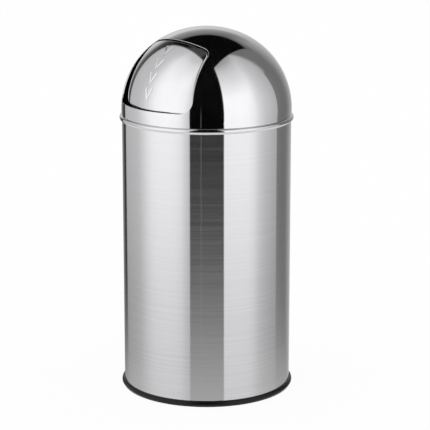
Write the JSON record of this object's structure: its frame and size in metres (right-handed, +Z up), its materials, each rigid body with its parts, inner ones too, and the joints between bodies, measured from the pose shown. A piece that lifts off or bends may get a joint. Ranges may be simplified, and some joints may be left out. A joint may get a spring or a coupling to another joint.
{
  "type": "dome top waste receptacle",
  "caption": "Free-standing round steel waste bin with a dome lid, a sprung push flap, a lift-out inner bucket with a bail handle, and a plastic base ring.",
  "frame": {"origin": "centre of the foot of the base ring, on the floor", "axes": "+Z up along the bin's centre line; the push flap faces -Y; the flap's hinge pin runs along X"},
  "size_m": [0.351, 0.351, 0.7371],
  "materials": {
    "brushed_steel": "stainless steel, brushed round the body",
    "polished_steel": "stainless steel, mirror polished",
    "satin_steel": "stainless steel, bright satin",
    "plain_steel": "zinc plated steel",
    "galvanised": "galvanised sheet steel",
    "black_plastic": "semi-gloss black moulded plastic",
    "rubber": "soft black rubber",
    "nylon": "natural nylon"
  },
  "bodies": {
    "body": {"body_shell": "brushed_steel", "bottom_plate": "galvanised", "base_ring": "black_plastic"},
    "bucket": {"bucket_wall": "galvanised", "bucket_bottom": "galvanised", "bail_ear_left": "galvanised", "bail_ear_right": "galvanised", "ear_rivets": "plain_steel"},
    "bail": {"bail_handle": "plain_steel"},
    "lid": {"dome_lid": "polished_steel", "lid_collar": "plain_steel", "hinge_bracket_left": "plain_steel", "hinge_bracket_right": "plain_steel", "hinge_pin": "plain_steel", "pin_clip_left": "plain_steel", "pin_clip_right": "plain_steel", "return_spring_left": "plain_steel", "return_spring_right": "plain_steel"},
    "flap": {"flap_panel": "satin_steel", "flap_lug_left": "plain_steel", "flap_lug_right": "plain_steel", "hinge_bush_left": "nylon", "hinge_bush_right": "nylon", "flap_pads": "rubber"}
  },
  "joints": [
    {"name": "bucket_lift", "type": "slide", "parent": "body", "child": "bucket", "axis": [0, 0, 1], "range_m": [0, 0.56]},
    {"name": "bail_swing", "type": "hinge", "parent": "bucket", "child": "bail", "pos_m": [0, 0, 0.5031], "axis": [1, 0, 0], "range_deg": [0, 196]},
    {"name": "lid_lift", "type": "slide", "parent": "bucket", "child": "lid", "axis": [0, 0, 1], "range_m": [0, 0.3]},
    {"name": "flap_swing", "type": "hinge", "parent": "lid", "child": "flap", "pos_m": [0, -0.058, 0.6881], "axis": [1, 0, 0], "range_deg": [0, 50], "stiffness_Nm_per_rad": 0.3, "springref_deg": -91.67, "deforming": ["return_spring_left", "return_spring_right"]}
  ]
}
